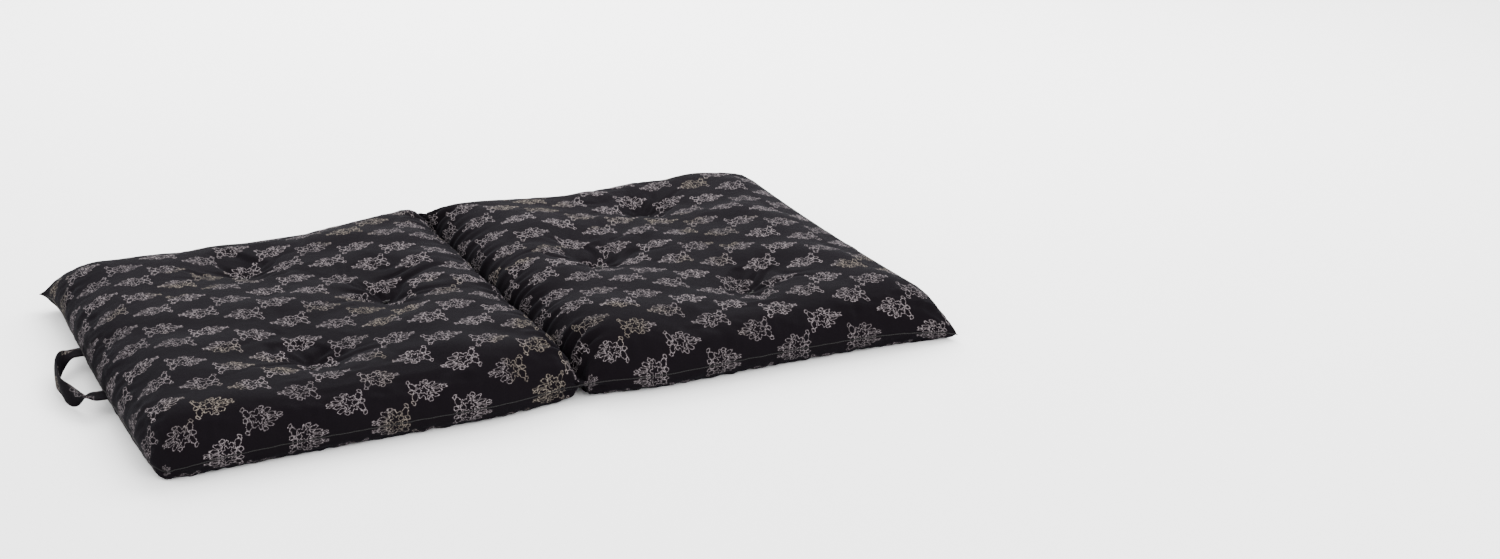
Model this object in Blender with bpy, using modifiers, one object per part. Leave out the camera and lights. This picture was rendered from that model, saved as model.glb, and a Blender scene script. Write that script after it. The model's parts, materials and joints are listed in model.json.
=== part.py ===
"""Folding futon mattress: two stuffed halves joined by a sewn fold channel.

Metres, +Z up. The mattress lies flat with its long side along X, the fold channel on
X = 0 and the floor at Z = 0. Each half is built once in its own terms, with u running
from the fold towards the outer end and v across the width, and is turned to its side
of the fold by a sign. Run with: blender --background --python part.py
"""

import math

import bmesh
import bpy
from mathutils import Matrix, Vector

# Overall size, measured over the edge seams
HALF_LENGTH = 0.500
WIDTH = 0.600
CROWN_HEIGHT = 0.074
SEAM_HEIGHT = 0.020

# Shape of the stuffed edges: how far in from a seam the cover reaches its full height
TOP_ROLL = 0.065
BOTTOM_ROLL = 0.030
FOLD_TOP_ROLL = 0.058
END_PULL = 0.010
SIDE_PULL = 0.006
WAIST_PULL = 0.020
WAIST_REACH = 0.070

# Cloth, clearances and filling
CLOTH = 0.0009
GAP = 0.0003
SEAM_GAP = 0.0024
FILLING_TOP_INSET = 0.005
FILLING_BOTTOM_INSET = 0.003
LAYER_GAP = 0.0006
LAYER_NAMES = ("lower", "middle", "upper")

# Fold channel: the strip where both panels are stitched through
CHANNEL_WIDTH = 0.010
CHANNEL_THICKNESS = 0.0018
THREAD_RADIUS = 0.0004
STITCH_ROW_OFFSET = 0.003
STITCH_END_MARGIN = 0.006

# Tufts: name, distance from the fold, distance across from the centre line
TUFT_NEAR_FOLD = 0.145
TUFT_FAR_FROM_FOLD = 0.285
TUFT_ACROSS = 0.168
TUFTS = (
    ("inner", TUFT_NEAR_FOLD, 0.0),
    ("back", TUFT_FAR_FROM_FOLD, TUFT_ACROSS),
    ("front", TUFT_FAR_FROM_FOLD, -TUFT_ACROSS),
)
TUFT_TOP_DEPTH = 0.036
TUFT_TOP_REACH = 0.085
TUFT_BOTTOM_DEPTH = 0.008
TUFT_BOTTOM_REACH = 0.060
TWINE_RADIUS = 0.0012
TWINE_HOLE_RADIUS = 0.0018
DRILL_TURN = math.radians(11)
KNOT_RADIUS = 0.003
KNOT_STANDOFF = 0.001

# The fold turns about a line across the mattress, just above its two crowns
FOLD_AXIS_CLEARANCE = 0.0010

# Carrying handle at each outer end, a strap sewn into the end seam at both its ends
STRAP_WIDTH = 0.026
STRAP_THICKNESS = 0.0018
LEFT_HANDLE_SPAN = 0.160
LEFT_HANDLE_REACH = 0.040
RIGHT_HANDLE_SPAN = 0.180
RIGHT_HANDLE_REACH = 0.012
STRAP_TWIST_SHARE = 0.30
STRAP_SQUARENESS = 0.7
STRAP_FLOOR_GAP = 0.0010
STRAP_POINTS = 24
TACK_LENGTH = 0.020
TACK_WIDTH = 0.0018
TACK_THICKNESS = 0.0008
TACK_INSET = 0.0025

# Care label folded into the right end seam
LABEL_WIDTH = 0.018
LABEL_REACH = 0.013
LABEL_THICKNESS = 0.0007
LABEL_ACROSS = -0.115

# Edge seam thread, just inside the seam
SEAM_THREAD_INSET = 0.0045

# Places of the panels' grid lines, as distances in from the seams, and spacing between
EDGE_STEPS = (0.0, 0.005, 0.016, 0.034, 0.060)
FILLING_EDGE_STEP = 2
INNER_SPACING = 0.052

SIDES = (("left", -1.0), ("right", 1.0))
HANDLES = {
    "left": (LEFT_HANDLE_SPAN, LEFT_HANDLE_REACH),
    "right": (RIGHT_HANDLE_SPAN, RIGHT_HANDLE_REACH),
}

# Drawn size of the empties on the joints' axes
PIVOT_SIZE = 0.02

# Colour, roughness and metallic value of each material
PRINTED_COTTON = ("printed_cotton", (0.022, 0.021, 0.025, 1.0), 0.9, 0.0)
COTTON_WADDING = ("cotton_wadding", (0.72, 0.68, 0.60, 1.0), 1.0, 0.0)
DARK_TWINE = ("dark_twine", (0.030, 0.028, 0.028, 1.0), 0.8, 0.0)
SATIN_LABEL = ("satin_label", (0.42, 0.42, 0.42, 1.0), 0.45, 0.0)


def clear_scene():
    """Takes away everything that the file started with."""
    for obj in list(bpy.data.objects):
        bpy.data.objects.remove(obj)


def material(spec):
    """The Principled material with this name, made the first time it is asked for."""
    name, colour, roughness, metallic = spec
    found = bpy.data.materials.get(name)
    if found:
        return found
    made = bpy.data.materials.new(name)
    made.use_nodes = True
    shader = made.node_tree.nodes["Principled BSDF"]
    shader.inputs["Base Color"].default_value = colour
    shader.inputs["Roughness"].default_value = roughness
    shader.inputs["Metallic"].default_value = metallic
    return made


def add_object(name, data, collection, spec=None):
    """Links new object data into a collection, with its material."""
    obj = bpy.data.objects.new(name, data)
    collection.objects.link(obj)
    if spec:
        data.materials.append(material(spec))
    return obj


def add_pivot(name, place, parent, collection):
    """An empty on a joint's axis, which carries the pieces that turn there."""
    pivot = bpy.data.objects.new(name, None)
    pivot.empty_display_size = PIVOT_SIZE
    pivot.location = place
    pivot.parent = parent
    pivot["from_fold"] = place
    collection.objects.link(pivot)
    return pivot


def carry(pieces, pivot):
    """Hangs pieces on a pivot, so that they stay where they are.

    Pieces and pivots are all placed from the foot of the fold. A handle's pivot takes
    its pieces before it is hung on its half.
    """
    for piece in pieces:
        piece.parent = pivot
        piece.location -= Vector(pivot["from_fold"])


def mesh_from(shape, name):
    """Turns a bmesh into mesh data and frees it."""
    mesh = bpy.data.meshes.new(name)
    shape.to_mesh(mesh)
    shape.free()
    return mesh


def rise(distance, roll):
    """Share of the full height at this distance in from a seam: a quarter ellipse."""
    share = min(max(distance / roll, 0.0), 1.0)
    return math.sqrt(1.0 - (1.0 - share) ** 2)


def dimple(u, v, depth, reach):
    """How far the tufts pull the cloth in at this place."""
    pulled = 0.0
    for _, tuft_u, tuft_v in TUFTS:
        away = math.hypot(u - tuft_u, v - tuft_v)
        if away < reach:
            pulled = max(pulled, depth * (1.0 - away / reach) ** 2)
    return pulled


def plan_point(u, v):
    """X away from the fold and Y, with the sides drawn in between the corners."""
    along = u / HALF_LENGTH
    waist = WAIST_PULL * math.exp(-((u / WAIST_REACH) ** 2))
    side_pull = waist + SIDE_PULL * math.sin(math.pi * along)
    end_pull = END_PULL * (1.0 - (2.0 * v / WIDTH) ** 2)
    x = u * (1.0 - end_pull / HALF_LENGTH)
    y = v * (1.0 - 2.0 * side_pull / WIDTH)
    return x, y


def fullness(u, v, roll, fold_roll):
    """0 at the seams and the fold channel, 1 where the cover is full."""
    side = rise(WIDTH / 2 - abs(v), roll)
    end = rise(HALF_LENGTH - u, roll)
    fold = rise(u - CHANNEL_WIDTH / 2, fold_roll)
    return side * end * fold


def top_height(u, v):
    """Outer face of the top panel above the floor, half the seam gap over the seam."""
    full = fullness(u, v, TOP_ROLL, FOLD_TOP_ROLL)
    rim = SEAM_HEIGHT + SEAM_GAP / 2
    return rim + (CROWN_HEIGHT - rim) * full - dimple(u, v, TUFT_TOP_DEPTH, TUFT_TOP_REACH) * full


def bottom_height(u, v):
    """Outer face of the bottom panel above the floor, half the seam gap under the seam."""
    full = fullness(u, v, BOTTOM_ROLL, BOTTOM_ROLL)
    rim = SEAM_HEIGHT - SEAM_GAP / 2
    return rim * (1.0 - full) + dimple(u, v, TUFT_BOTTOM_DEPTH, TUFT_BOTTOM_REACH)


def spaced_between(marks):
    """Grid lines through every mark, with even steps of about INNER_SPACING between."""
    lines = [marks[0]]
    for start, stop in zip(marks, marks[1:]):
        steps = max(1, round((stop - start) / INNER_SPACING))
        lines += [start + (stop - start) * k / steps for k in range(1, steps + 1)]
    return lines


def grid_lines(first_edge_step):
    """(u lines, v lines) of a panel or a filling layer, from the seams inwards."""
    edges = EDGE_STEPS[first_edge_step:]
    fold_side = [CHANNEL_WIDTH / 2 + GAP + step for step in edges]
    end_side = [HALF_LENGTH - step for step in reversed(edges)]
    tuft_us = [TUFT_NEAR_FOLD, TUFT_FAR_FROM_FOLD]
    inner_u = spaced_between([fold_side[-1], *tuft_us, end_side[0]])
    outer_v = [WIDTH / 2 - step for step in reversed(edges)]
    inner_v = spaced_between([0.0, TUFT_ACROSS, outer_v[0]])
    half_v = inner_v + outer_v[1:]
    u_lines = fold_side[:-1] + inner_u + end_side[1:]
    v_lines = [-v for v in reversed(half_v[1:])] + half_v
    return u_lines, v_lines


def sheet_bmesh(side, lines, height):
    """An open sheet over these grid lines, at a height given by a function of u and v.

    Every sheet splits its squares the same way, so sheets one above the other stay
    apart between their grid points too.
    """
    u_lines, v_lines = lines
    shape = bmesh.new()
    bmesh.ops.create_grid(
        shape,
        x_segments=len(u_lines) - 1,
        y_segments=len(v_lines) - 1,
        size=1.0,
    )
    for vert in shape.verts:
        column = round((vert.co.x + 1.0) / 2.0 * (len(u_lines) - 1))
        row = round((vert.co.y + 1.0) / 2.0 * (len(v_lines) - 1))
        u, v = u_lines[column], v_lines[row]
        x, y = plan_point(u, v)
        vert.co = (side * x, y, height(u, v))
    bmesh.ops.triangulate(shape, faces=shape.faces[:], quad_method="FIXED")
    if side < 0:
        bmesh.ops.reverse_faces(shape, faces=shape.faces[:])
    return shape


def cut_with(obj, cutter):
    """Cuts the twine holes of one half out of a piece."""
    hole = obj.modifiers.new("twine_holes", "BOOLEAN")
    hole.operation = "DIFFERENCE"
    hole.object = cutter


def make_twine_cutter(name, side, cutters):
    """Three upright drills, one at each tuft of this half."""
    shape = bmesh.new()
    for _, tuft_u, tuft_v in TUFTS:
        drill = bmesh.ops.create_cone(
            shape,
            cap_ends=True,
            segments=8,
            radius1=TWINE_HOLE_RADIUS,
            radius2=TWINE_HOLE_RADIUS,
            depth=2.0 * CROWN_HEIGHT,
        )
        x, y = plan_point(tuft_u, tuft_v)
        bmesh.ops.rotate(shape, verts=drill["verts"], matrix=Matrix.Rotation(DRILL_TURN, 3, "Z"))
        bmesh.ops.translate(shape, verts=drill["verts"], vec=(side * x, y, CROWN_HEIGHT / 2))
    cutter = add_object(f"{name}_twine_drills", mesh_from(shape, "drills"), cutters)
    cutter.hide_render = True
    cutter.display_type = "WIRE"
    return cutter


def make_panel(name, side, is_top, cutter, parts):
    """One cloth panel of the cover: a curved sheet thickened towards the filling."""
    shape = sheet_bmesh(side, grid_lines(0), top_height if is_top else bottom_height)
    if not is_top:
        bmesh.ops.reverse_faces(shape, faces=shape.faces[:])
    panel = add_object(name, mesh_from(shape, name), parts, PRINTED_COTTON)
    wall = panel.modifiers.new("cloth", "SOLIDIFY")
    wall.thickness = CLOTH
    wall.offset = -1.0
    cut_with(panel, cutter)
    return panel


def filling_height(u, v, share):
    """Height of a surface that lies at this share of the way up through the filling."""
    low = bottom_height(u, v) + FILLING_BOTTOM_INSET
    high = top_height(u, v) - FILLING_TOP_INSET
    return low + (high - low) * share


def make_filling_layer(name, side, index, cutter, parts):
    """One wadding layer: an upper and a lower sheet bridged into a closed slab."""
    lines = grid_lines(FILLING_EDGE_STEP)
    count = len(LAYER_NAMES)
    low_share, high_share = index / count, (index + 1) / count
    shape = sheet_bmesh(side, lines, lambda u, v: filling_height(u, v, low_share) + LAYER_GAP / 2)
    upper = sheet_bmesh(side, lines, lambda u, v: filling_height(u, v, high_share) - LAYER_GAP / 2)
    upper_mesh = mesh_from(upper, "upper_sheet")
    bmesh.ops.reverse_faces(shape, faces=shape.faces[:])
    shape.from_mesh(upper_mesh)
    bpy.data.meshes.remove(upper_mesh)
    rims = [edge for edge in shape.edges if edge.is_boundary]
    bmesh.ops.bridge_loops(shape, edges=rims)
    bmesh.ops.recalc_face_normals(shape, faces=shape.faces[:])
    layer = add_object(name, mesh_from(shape, name), parts, COTTON_WADDING)
    cut_with(layer, cutter)
    return layer


def knot_offset(depth, reach):
    """From the cloth at a tuft to the middle of its knot, clear of the dimple's slope."""
    slope = 2.0 * depth / reach
    return KNOT_STANDOFF + KNOT_RADIUS * math.hypot(1.0, slope)


def make_tuft(half, side, tuft, parts):
    """The twine of one tuft with the knot that holds it at each face."""
    label, tuft_u, tuft_v = tuft
    x, y = plan_point(tuft_u, tuft_v)
    top = top_height(tuft_u, tuft_v) + knot_offset(TUFT_TOP_DEPTH, TUFT_TOP_REACH)
    bottom = bottom_height(tuft_u, tuft_v) - knot_offset(TUFT_BOTTOM_DEPTH, TUFT_BOTTOM_REACH)
    knots = (("top_knot", top), ("bottom_knot", bottom))
    pieces = []
    for knot_name, z in knots:
        shape = bmesh.new()
        bmesh.ops.create_uvsphere(shape, u_segments=8, v_segments=6, radius=KNOT_RADIUS)
        name = f"{half}_tuft_{label}_{knot_name}"
        knot = add_object(name, mesh_from(shape, name), parts, DARK_TWINE)
        knot.data.shade_smooth()
        knot.location = (side * x, y, z)
        pieces.append(knot)
    start = bottom + KNOT_RADIUS + GAP
    stop = top - KNOT_RADIUS - GAP
    shape = bmesh.new()
    bmesh.ops.create_cone(
        shape,
        cap_ends=True,
        segments=8,
        radius1=TWINE_RADIUS,
        radius2=TWINE_RADIUS,
        depth=stop - start,
    )
    name = f"{half}_tuft_{label}_twine"
    twine = add_object(name, mesh_from(shape, name), parts, DARK_TWINE)
    twine.location = (side * x, y, (start + stop) / 2)
    pieces.append(twine)
    return pieces


def poly_tube(name, points, radius, sides_setting, parts, spec):
    """A thread along a run of points, with closed ends."""
    curve = bpy.data.curves.new(name, "CURVE")
    curve.dimensions = "3D"
    curve.bevel_depth = radius
    curve.bevel_resolution = sides_setting
    curve.use_fill_caps = True
    spline = curve.splines.new("POLY")
    spline.points.add(len(points) - 1)
    for point, place in zip(spline.points, points):
        point.co = (*place, 1.0)
    return add_object(name, curve, parts, spec)


def make_edge_thread(name, side, parts):
    """The thread of the edge seam: along one side, across the end and back."""
    u_lines, v_lines = grid_lines(0)
    side_v = WIDTH / 2 - SEAM_THREAD_INSET
    end_u = HALF_LENGTH - SEAM_THREAD_INSET
    start_u = CHANNEL_WIDTH / 2 + SEAM_THREAD_INSET
    along = [start_u] + [u for u in u_lines if start_u < u < end_u - SEAM_THREAD_INSET]
    across = [v for v in v_lines if abs(v) < side_v - SEAM_THREAD_INSET]
    places = [(u, -side_v) for u in along] + [(end_u, -side_v)]
    places += [(end_u, v) for v in across] + [(end_u, side_v)]
    places += [(u, side_v) for u in reversed(along)]
    run = [(side * plan_point(u, v)[0], plan_point(u, v)[1], SEAM_HEIGHT) for u, v in places]
    return poly_tube(name, run, THREAD_RADIUS, 0, parts, DARK_TWINE)


def channel_half_width_across():
    """Half the length of the fold channel across the mattress, at its drawn-in waist."""
    return plan_point(0.0, WIDTH / 2)[1]


def make_fold_channel(parts):
    """The flat strip of cloth between the halves and its two rows of stitching."""
    half_across = channel_half_width_across()
    shape = bmesh.new()
    bmesh.ops.create_cube(shape, size=1.0)
    size = (CHANNEL_WIDTH - 2 * GAP, 2 * half_across, CHANNEL_THICKNESS)
    bmesh.ops.scale(shape, verts=shape.verts[:], vec=size)
    strip = add_object("fold_channel", mesh_from(shape, "strip"), parts, PRINTED_COTTON)
    strip.location = (0.0, 0.0, SEAM_HEIGHT)
    pieces = [strip]
    rise_off = CHANNEL_THICKNESS / 2 + GAP + THREAD_RADIUS
    reach = half_across - STITCH_END_MARGIN
    for row_name, sign in SIDES:
        x = sign * STITCH_ROW_OFFSET
        for face_name, lift in (("top", rise_off), ("underside", -rise_off)):
            run = [(x, -reach, SEAM_HEIGHT + lift), (x, reach, SEAM_HEIGHT + lift)]
            name = f"fold_stitching_{row_name}_{face_name}"
            pieces.append(poly_tube(name, run, THREAD_RADIUS, 1, parts, DARK_TWINE))
    return pieces


def end_seam_x(v):
    """How far out the end seam lies at this place across the mattress."""
    return plan_point(HALF_LENGTH, v)[0]


def handle_root_x(half):
    """How far from the fold a strap leaves the end seam."""
    span, _ = HANDLES[half]
    return end_seam_x(span / 2) + SEAM_GAP


def strap_point(half, share):
    """Centre of the strap at a share of its way round, with its turn about itself.

    It leaves the seam flat as far as its bar tack, turns up on its edge within
    STRAP_TWIST_SHARE of its length and stands just over the floor in the middle.
    """
    span, reach = HANDLES[half]
    across = span / 2 * math.cos(math.pi * share)
    out = reach * math.sin(math.pi * share) ** STRAP_SQUARENESS
    flat_share = math.asin(((TACK_INSET + TACK_WIDTH) / reach) ** (1.0 / STRAP_SQUARENESS)) / math.pi
    past_flat = (min(share, 1.0 - share) - flat_share) / (STRAP_TWIST_SHARE - flat_share)
    turned = min(max(past_flat, 0.0), 1.0)
    eased = turned * turned * (3.0 - 2.0 * turned)
    mid_height = STRAP_WIDTH / 2 + STRAP_FLOOR_GAP
    height = SEAM_HEIGHT + (mid_height - SEAM_HEIGHT) * eased
    return (handle_root_x(half) + out, across, height), eased


def strap_bmesh(half, side):
    """The strap's middle surface: a row of cross lines, each turned by its share."""
    shape = bmesh.new()
    bmesh.ops.create_grid(shape, x_segments=STRAP_POINTS, y_segments=1, size=1.0)
    for vert in shape.verts:
        share = (vert.co.x + 1.0) / 2.0
        edge = vert.co.y
        (x, y, z), eased = strap_point(half, share)
        flat_sign = 1.0 if share < 0.5 else -1.0
        angle = eased * math.pi / 2
        dy = flat_sign * math.cos(angle) * edge * STRAP_WIDTH / 2
        dz = math.sin(angle) * edge * STRAP_WIDTH / 2
        vert.co = (side * x, y + dy, z + dz)
    if side < 0:
        bmesh.ops.reverse_faces(shape, faces=shape.faces[:])
    return shape


def make_handle(half, side, parts):
    """The carrying strap at one end and the bar tack across each of its ends."""
    span, _ = HANDLES[half]
    name = f"{half}_handle_strap"
    strap = add_object(name, mesh_from(strap_bmesh(half, side), name), parts, PRINTED_COTTON)
    wall = strap.modifiers.new("folded_cloth", "SOLIDIFY")
    wall.thickness = STRAP_THICKNESS
    wall.offset = 0.0
    pieces = [strap]
    tack_x = handle_root_x(half) + TACK_INSET
    tack_z = SEAM_HEIGHT + STRAP_THICKNESS / 2 + 2 * GAP + TACK_THICKNESS / 2
    for end_name, sign in (("front", -1.0), ("back", 1.0)):
        shape = bmesh.new()
        bmesh.ops.create_cube(shape, size=1.0)
        size = (TACK_WIDTH, TACK_LENGTH, TACK_THICKNESS)
        bmesh.ops.scale(shape, verts=shape.verts[:], vec=size)
        name = f"{half}_handle_tack_{end_name}"
        tack = add_object(name, mesh_from(shape, name), parts, DARK_TWINE)
        tack.location = (side * tack_x, sign * span / 2, tack_z)
        pieces.append(tack)
    return pieces


def make_label(parts):
    """The blank care label that stands out of the right end seam."""
    shape = bmesh.new()
    bmesh.ops.create_cube(shape, size=1.0)
    bmesh.ops.scale(shape, verts=shape.verts[:], vec=(LABEL_REACH, LABEL_WIDTH, LABEL_THICKNESS))
    label = add_object("care_label", mesh_from(shape, "label"), parts, SATIN_LABEL)
    x = end_seam_x(LABEL_ACROSS) + SEAM_GAP + LABEL_REACH / 2
    label.location = (x, LABEL_ACROSS, SEAM_HEIGHT)
    return label


def fold_offset():
    """How far the fold lies from the middle of the whole, whose ends reach unequally."""
    strap_reach = {
        half: handle_root_x(half) + reach + STRAP_THICKNESS / 2
        for half, (_, reach) in HANDLES.items()
    }
    label_reach = end_seam_x(LABEL_ACROSS) + SEAM_GAP + LABEL_REACH
    left = max(strap_reach["left"], HALF_LENGTH)
    right = max(strap_reach["right"], label_reach, HALF_LENGTH)
    return (left - right) / 2


def make_half(half, side, parts, cutters):
    """The panels, filling, tufts and edge thread of one half of the mattress."""
    cutter = make_twine_cutter(half, side, cutters)
    pieces = [
        make_panel(f"{half}_top_panel", side, True, cutter, parts),
        make_panel(f"{half}_bottom_panel", side, False, cutter, parts),
        make_edge_thread(f"{half}_edge_seam_thread", side, parts),
    ]
    for index, layer in enumerate(LAYER_NAMES):
        pieces.append(make_filling_layer(f"{half}_filling_{layer}", side, index, cutter, parts))
    for tuft in TUFTS:
        pieces += make_tuft(half, side, tuft, parts)
    return pieces, cutter


def main():
    """Builds the mattress in one collection and its drills in another."""
    clear_scene()
    parts = bpy.data.collections.new("folding_futon_mattress")
    cutters = bpy.data.collections.new("twine_drills")
    for collection in (parts, cutters):
        bpy.context.scene.collection.children.link(collection)
    whole = add_pivot("fold_foot", (0.0, 0.0, 0.0), None, parts)
    whole.location.x = fold_offset()
    fold_axis = (0.0, 0.0, CROWN_HEIGHT + FOLD_AXIS_CLEARANCE)
    fold = add_pivot("fold_axis", fold_axis, whole, parts)
    carriers = {"left": whole, "right": fold}
    for half, side in SIDES:
        pieces, cutter = make_half(half, side, parts, cutters)
        carry(pieces, carriers[half])
        carry([cutter], carriers[half])
        handle_axis = (side * handle_root_x(half), 0.0, SEAM_HEIGHT)
        handle_pivot = add_pivot(f"{half}_handle_axis", handle_axis, None, parts)
        carry(make_handle(half, side, parts), handle_pivot)
        carry([handle_pivot], carriers[half])
    carry(make_fold_channel(parts), whole)
    carry([make_label(parts)], fold)


main()
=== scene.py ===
"""Looks of a small folding futon mattress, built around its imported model.

The cover is one cloth, cut flat, stitched round its edge and through the fold, tied
down at six tufts and filled by cloth simulation. Everything that is sewn to it follows
its finished shape.
"""

import json
import logging
import math
from dataclasses import dataclass, field
from enum import Enum

import bmesh
import bpy
import numpy as np
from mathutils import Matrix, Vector
from mathutils.bvhtree import BVHTree


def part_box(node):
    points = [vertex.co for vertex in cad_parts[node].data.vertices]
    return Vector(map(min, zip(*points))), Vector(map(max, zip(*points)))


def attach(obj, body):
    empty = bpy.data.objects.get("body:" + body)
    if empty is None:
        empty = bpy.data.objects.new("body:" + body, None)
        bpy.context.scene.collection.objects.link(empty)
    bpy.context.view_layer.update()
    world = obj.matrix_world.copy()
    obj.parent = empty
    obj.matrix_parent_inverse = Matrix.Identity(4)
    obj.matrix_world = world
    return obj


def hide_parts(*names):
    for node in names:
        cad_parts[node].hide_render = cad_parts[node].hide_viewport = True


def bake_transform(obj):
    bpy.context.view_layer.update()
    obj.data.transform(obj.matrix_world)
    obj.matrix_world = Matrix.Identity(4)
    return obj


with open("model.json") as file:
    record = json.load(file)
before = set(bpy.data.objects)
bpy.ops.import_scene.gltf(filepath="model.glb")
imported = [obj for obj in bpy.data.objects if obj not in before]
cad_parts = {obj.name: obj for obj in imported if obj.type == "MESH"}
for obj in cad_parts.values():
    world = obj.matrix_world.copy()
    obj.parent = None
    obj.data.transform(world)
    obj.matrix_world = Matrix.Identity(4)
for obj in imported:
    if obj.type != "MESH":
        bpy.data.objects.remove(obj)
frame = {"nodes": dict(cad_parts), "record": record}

LOG = logging.getLogger("futon_mattress")
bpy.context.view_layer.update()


class Side(Enum):
    """The two halves of the mattress, by the way they lie from the fold."""

    LEFT = -1.0
    RIGHT = 1.0

    @property
    def word(self) -> str:
        """The half's name in the frame's node and body names."""
        return self.name.lower()


class Sheet(Enum):
    """The two cloth panels of the cover."""

    TOP = 0
    UNDERSIDE = 1


# --------------------------------------------------------------------------- shading


class Wire:
    """A shader value that plain arithmetic can be written on."""

    def __init__(self, graph: "Graph", socket: bpy.types.NodeSocket) -> None:
        """Keeps the socket and the graph that new nodes go into."""
        self.graph = graph
        self.socket = socket

    def maths(self, operation: str, *others: "Wire | float") -> "Wire":
        """Adds a Math node that works on this value.

        Args:
            operation: the Math node's operation.
            others: the values of its further sockets.

        Returns:
            The node's result.
        """
        values = {index + 1: other for index, other in enumerate(others)}
        return self.graph.node("ShaderNodeMath", {"operation": operation}, {0: self, **values})

    def __add__(self, other: "Wire | float") -> "Wire":
        """This value plus another."""
        return self.maths("ADD", other)

    __radd__ = __add__

    def __mul__(self, other: "Wire | float") -> "Wire":
        """This value times another."""
        return self.maths("MULTIPLY", other)

    __rmul__ = __mul__

    def __sub__(self, other: "Wire | float") -> "Wire":
        """This value less another."""
        return self.maths("SUBTRACT", other)

    def __rsub__(self, other: float) -> "Wire":
        """A number less this value."""
        return self.graph.node("ShaderNodeMath", {"operation": "SUBTRACT"}, {0: other, 1: self})

    def __truediv__(self, other: "Wire | float") -> "Wire":
        """This value over another."""
        return self.maths("DIVIDE", other)

    def __abs__(self) -> "Wire":
        """This value without its sign."""
        return self.maths("ABSOLUTE")

    def fade(self, low: float, high: float) -> "Wire":
        """Eases from 1 at low to 0 at high.

        Args:
            low: the value up to which the result is 1.
            high: the value from which it is 0.

        Returns:
            The eased value.
        """
        settings = {"interpolation_type": "SMOOTHSTEP"}
        values = {"Value": self, "From Min": low, "From Max": high, "To Min": 1.0, "To Max": 0.0}
        return self.graph.node("ShaderNodeMapRange", settings, values)


class Graph:
    """The node tree of one material, with its Principled shader."""

    def __init__(self, name: str) -> None:
        """Makes the material and keeps its tree and shader."""
        self.material = bpy.data.materials.new(name)
        self.material.use_nodes = True
        self.tree = self.material.node_tree
        self.shader = self.tree.nodes["Principled BSDF"]

    def plug(self, socket: bpy.types.NodeSocket, value: "Wire | float | tuple") -> None:
        """Links a wire into a socket, or writes a constant on it."""
        if isinstance(value, Wire):
            self.tree.links.new(value.socket, socket)
        else:
            socket.default_value = value

    def node(self, kind: str, settings: dict | None = None, inputs: dict | None = None,
             output: int | str = 0) -> Wire:
        """Adds a node.

        Args:
            kind: the node's type.
            settings: its properties, set before its sockets.
            inputs: values or wires by socket name or number.
            output: the socket that the result is read from.

        Returns:
            The chosen output.
        """
        made = self.tree.nodes.new(kind)
        for name, value in (settings or {}).items():
            setattr(made, name, value)
        for key, value in (inputs or {}).items():
            self.plug(made.inputs[key], value)
        return Wire(self, made.outputs[output])

    def mix(self, factor: "Wire | float", first: "Wire | tuple", second: "Wire | tuple") -> Wire:
        """Mixes two colours.

        Args:
            factor: 0 for the first colour, 1 for the second.
            first: a colour or a wire of one.
            second: a colour or a wire of one.

        Returns:
            The mixed colour.
        """
        settings = {"data_type": "RGBA"}
        inputs = {"Factor": factor, 6: first, 7: second}
        return self.node("ShaderNodeMix", settings, inputs, output=2)

    def noise(self, place: Wire, scale: float, detail: float = 2.0, output: int = 0) -> Wire:
        """Noise at a place: its value, or its colour with output 1."""
        inputs = {"Vector": place, "Scale": scale, "Detail": detail}
        return self.node("ShaderNodeTexNoise", {}, inputs, output=output)

    def parts(self, vector: Wire) -> tuple[Wire, Wire, Wire]:
        """The X, Y and Z of a vector."""
        first = self.node("ShaderNodeSeparateXYZ", {}, {0: vector})
        outputs = first.socket.node.outputs
        return tuple(Wire(self, socket) for socket in outputs)

    def together(self, x: "Wire | float", y: "Wire | float", z: "Wire | float" = 0.0) -> Wire:
        """A vector from its three parts."""
        return self.node("ShaderNodeCombineXYZ", {}, {0: x, 1: y, 2: z})

    def set_constants(self, **values: float | tuple) -> None:
        """Sets the shader's own sockets, by names with underscores for spaces."""
        for name, value in values.items():
            self.shader.inputs[name.replace("_", " ")].default_value = value

    def finish(self, colour: Wire, roughness: "Wire | float", height: Wire, strength: float,
               distance: float) -> bpy.types.Material:
        """Joins the finished colour, roughness and relief to the shader.

        Args:
            colour: the base colour.
            roughness: how dull the surface is.
            height: relief from 0 to 1.
            strength: how much of the relief shows.
            distance: how deep a height of 1 is, in metres.

        Returns:
            The material.
        """
        self.plug(self.shader.inputs["Base Color"], colour)
        self.plug(self.shader.inputs["Roughness"], roughness)
        bump = self.node(
            "ShaderNodeBump", {}, {"Strength": strength, "Distance": distance, "Height": height}
        )
        self.plug(self.shader.inputs["Normal"], bump)
        return self.material


@dataclass(frozen=True)
class Weave:
    """A plain weave's threads, as relief."""

    pitch: float = 0.0007

    def relief(self, graph: Graph, along: Wire, across: Wire) -> Wire:
        """Threads over and under each other.

        Args:
            graph: the material's graph.
            along: distance along the cloth, in metres.
            across: distance across it.

        Returns:
            Relief from 0 to 1.
        """
        turn = 2.0 * math.pi / self.pitch
        warp = (along * turn).maths("SINE")
        weft = (across * turn).maths("SINE")
        return warp * weft * 0.5 + 0.5


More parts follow.
